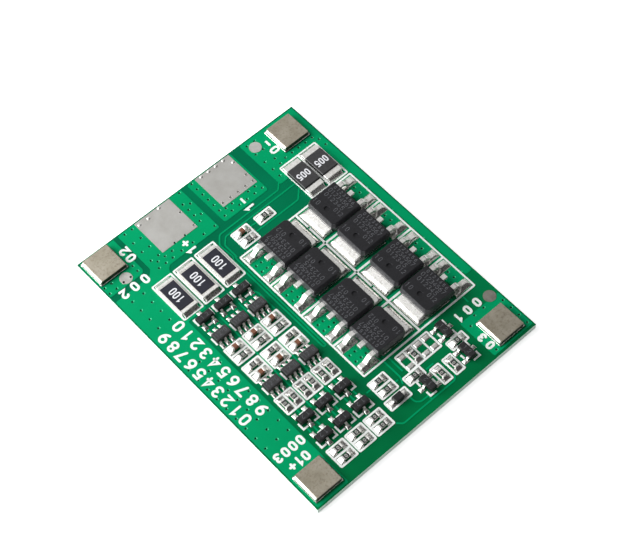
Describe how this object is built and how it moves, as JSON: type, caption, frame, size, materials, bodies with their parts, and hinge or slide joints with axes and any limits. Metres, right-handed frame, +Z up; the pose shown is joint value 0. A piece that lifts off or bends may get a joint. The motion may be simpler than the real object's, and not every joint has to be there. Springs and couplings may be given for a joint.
{
  "type": "battery management board",
  "caption": "Flat green circuit board for a battery pack, with rows of power transistors, shunts, small chips and square metal weld tabs at its corners.",
  "frame": {"origin": "centre of the board's underside", "axes": "+X across the board, +Y along its long side towards the edge with the two output pads, +Z up from the board towards its parts"},
  "size_m": [0.045, 0.056, 0.0036],
  "materials": {
    "laminate": "green solder mask over glass-epoxy",
    "masked_copper": "green solder mask over copper",
    "solder": "bright tin solder",
    "tinned_pad": "matt tinned land",
    "ink": "matt white printed ink",
    "tab_metal": "dull plated weld tab",
    "power_mould": "matt charcoal moulding with tinned leads",
    "shunt_coat": "black coat on a metal strip",
    "resistor_coat": "dark glaze on white ceramic with tinned ends",
    "mould": "black moulding with tinned leads",
    "capacitor_body": "tan ceramic with tinned ends",
    "chip_coat": "dark grey glaze with tinned ends"
  },
  "bodies": {
    "root": {"circuit_board": "laminate", "copper_layer": "masked_copper", "component_lands": "solder", "output_pads": "tinned_pad", "tap_pads": "tinned_pad", "legend": "ink", "battery_tab_1": "tab_metal", "battery_tab_2": "tab_metal", "battery_tab_3": "tab_metal", "battery_tab_4": "tab_metal", "power_transistor_1": "power_mould", "power_transistor_2": "power_mould", "power_transistor_3": "power_mould", "power_transistor_4": "power_mould", "power_transistor_5": "power_mould", "power_transistor_6": "power_mould", "power_transistor_7": "power_mould", "power_transistor_8": "power_mould", "shunt_1": "shunt_coat", "shunt_2": "shunt_coat", "balance_resistor_1": "resistor_coat", "balance_resistor_2": "resistor_coat", "balance_resistor_3": "resistor_coat", "balance_switch_1": "mould", "balance_switch_2": "mould", "balance_switch_3": "mould", "balance_chip_1": "mould", "balance_chip_2": "mould", "balance_chip_3": "mould", "balance_capacitor_1": "capacitor_body", "balance_capacitor_2": "capacitor_body", "balance_capacitor_3": "capacitor_body", "guard_capacitor_1": "capacitor_body", "guard_capacitor_2": "capacitor_body", "guard_capacitor_3": "capacitor_body", "guard_chip_1": "mould", "guard_chip_2": "mould", "guard_chip_3": "mould", "upper_transistor_1": "mould", "upper_transistor_2": "mould", "upper_transistor_3": "mould", "lower_transistor_1": "mould", "lower_transistor_2": "mould", "lower_transistor_3": "mould", "control_transistor_1": "mould", "control_transistor_2": "mould", "control_transistor_3": "mould", "diode": "mould", "delay_capacitor": "capacitor_body", "balance_feed_resistors": "chip_coat", "guard_feed_resistors": "chip_coat", "gate_resistors_1": "chip_coat", "gate_resistors_2": "chip_coat", "gate_resistors_3": "chip_coat", "pulldown_resistors_1": "chip_coat", "pulldown_resistors_2": "chip_coat", "pulldown_resistors_3": "chip_coat", "sense_resistors": "chip_coat", "release_resistors": "chip_coat", "control_resistors": "chip_coat"}
  },
  "joints": []
}
